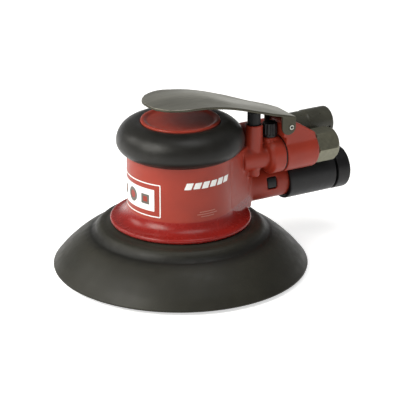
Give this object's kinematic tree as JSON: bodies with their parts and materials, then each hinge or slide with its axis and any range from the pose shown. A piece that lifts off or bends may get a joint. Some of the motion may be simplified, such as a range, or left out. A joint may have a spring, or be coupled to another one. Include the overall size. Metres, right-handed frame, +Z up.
{
  "type": "orbital sander",
  "caption": "Palm-held air random-orbit sander: red housing, rubber grip and dust shroud, throttle lever, muffler, tapped inlet and swivelling dust outlet.",
  "frame": {"origin": "on the motor axis at the pad's sanding face", "axes": "+Z up along the motor axis away from the work, +X towards the air inlet and the dust hose, +Y towards the muffler side"},
  "size_m": [0.2015, 0.161, 0.1125],
  "materials": {
    "red_housing": "satin moulded, glossy on the flange",
    "grip_rubber": "soft satin rubber",
    "shroud_rubber": "matt rubber, slightly olive",
    "seal_rubber": "satin",
    "black_oxide": "black oxide",
    "cast_aluminium": "machined",
    "ground_steel": "ground",
    "bearing_steel": "polished",
    "cage_polymer": "moulded",
    "inlet_steel": "plated, dull",
    "brass": "turned",
    "lever_steel": "brushed, satin",
    "black_plastic": "moulded, satin",
    "felt": "felt",
    "rotor_steel": "turned",
    "vane_laminate": "phenolic laminate",
    "pad_plate_plastic": "glass filled",
    "pad_foam": "foam",
    "pad_facing": "hook cloth"
  },
  "bodies": {
    "housing": {"motor_housing": "red_housing", "palm_grip": "grip_rubber", "dust_shroud": "shroud_rubber", "lock_ring": "black_oxide", "lower_end_plate": "cast_aluminium", "rotor_cylinder": "ground_steel", "upper_end_plate": "cast_aluminium", "cylinder_pin": "ground_steel", "housing_o_rings": "seal_rubber", "lower_bearing_outer_ring": "bearing_steel", "upper_bearing_outer_ring": "bearing_steel", "inlet_barrel": "red_housing", "inlet_seal": "seal_rubber", "inlet_bushing": "inlet_steel", "inlet_screen": "brass", "lever_pin": "ground_steel", "valve_guide": "brass", "valve_plug": "brass", "valve_spring": "ground_steel", "muffler_body": "black_plastic", "muffler_adapter": "black_plastic", "muffler_felt": "felt", "dust_fitting": "black_plastic"},
    "cuff": {"hose_cuff": "black_plastic"},
    "lever": {"throttle_lever": "lever_steel"},
    "valve": {"valve_plunger": "black_plastic", "valve_spool": "brass", "spool_o_rings": "seal_rubber"},
    "regulator": {"speed_regulator": "black_plastic", "regulator_o_ring": "seal_rubber"},
    "rotor": {"balancer_shaft": "ground_steel", "rotor": "rotor_steel", "rotor_vanes": "vane_laminate", "rotor_key": "ground_steel", "lower_bearing_inner_ring": "bearing_steel", "upper_bearing_inner_ring": "bearing_steel", "shaft_snap_ring": "black_oxide", "spindle_bearing_outer_ring": "bearing_steel", "spindle_bearing_retainer": "black_oxide"},
    "lower_balls": {"lower_bearing_balls": "bearing_steel", "lower_bearing_cage": "cage_polymer"},
    "upper_balls": {"upper_bearing_balls": "bearing_steel", "upper_bearing_cage": "cage_polymer"},
    "spindle_balls": {"spindle_bearing_balls": "bearing_steel", "spindle_bearing_cage": "cage_polymer"},
    "pad": {"spindle": "ground_steel", "spindle_bearing_inner_ring": "bearing_steel", "spindle_snap_ring": "black_oxide", "pad_stud": "ground_steel", "pad_plate": "pad_plate_plastic", "pad_foam": "pad_foam", "pad_facing": "pad_facing"}
  },
  "joints": [
    {"name": "lever_press", "type": "hinge", "parent": "housing", "child": "lever", "pos_m": [0.0676, -0.011, 0.08631], "axis": [0, -1, 0], "range_deg": [0, 6.5], "stiffness_Nm_per_rad": 1, "springref_deg": -20.05},
    {"name": "valve_stroke", "type": "slide", "parent": "housing", "child": "valve", "axis": [0, 0, -1], "range_m": [0, 0.0027], "deforming": ["valve_spring"]},
    {"name": "regulator_turn", "type": "hinge", "parent": "housing", "child": "regulator", "pos_m": [0.0584, -0.011, 0.08], "axis": [0, 0, 1], "range_deg": [0, 180]},
    {"name": "cuff_swivel", "type": "hinge", "parent": "housing", "child": "cuff", "pos_m": [0.115, 0.002, 0.0436], "axis": [1, 0, 0], "continuous": true},
    {"name": "rotor_spin", "type": "hinge", "parent": "housing", "child": "rotor", "pos_m": [0, 0, 0.06], "axis": [0, 0, 1], "continuous": true},
    {"name": "pad_spin", "type": "hinge", "parent": "rotor", "child": "pad", "pos_m": [0.0024, 0, 0.02], "axis": [0, 0, 1], "continuous": true},
    {"name": "lower_balls_orbit", "type": "hinge", "parent": "housing", "child": "lower_balls", "pos_m": [0, 0, 0.0445], "axis": [0, 0, 1], "continuous": true},
    {"name": "upper_balls_orbit", "type": "hinge", "parent": "housing", "child": "upper_balls", "pos_m": [0, 0, 0.082], "axis": [0, 0, 1], "continuous": true},
    {"name": "spindle_balls_orbit", "type": "hinge", "parent": "rotor", "child": "spindle_balls", "pos_m": [0.0024, 0, 0.026], "axis": [0, 0, 1], "continuous": true}
  ],
  "couplings": [
    {"joint": "valve_stroke", "follows": "lever_press", "m_per_rad": 0.0235},
    {"joint": "lower_balls_orbit", "follows": "rotor_spin", "ratio": 0.402},
    {"joint": "upper_balls_orbit", "follows": "rotor_spin", "ratio": 0.394},
    {"joint": "spindle_balls_orbit", "follows": "pad_spin", "ratio": 0.39}
  ]
}
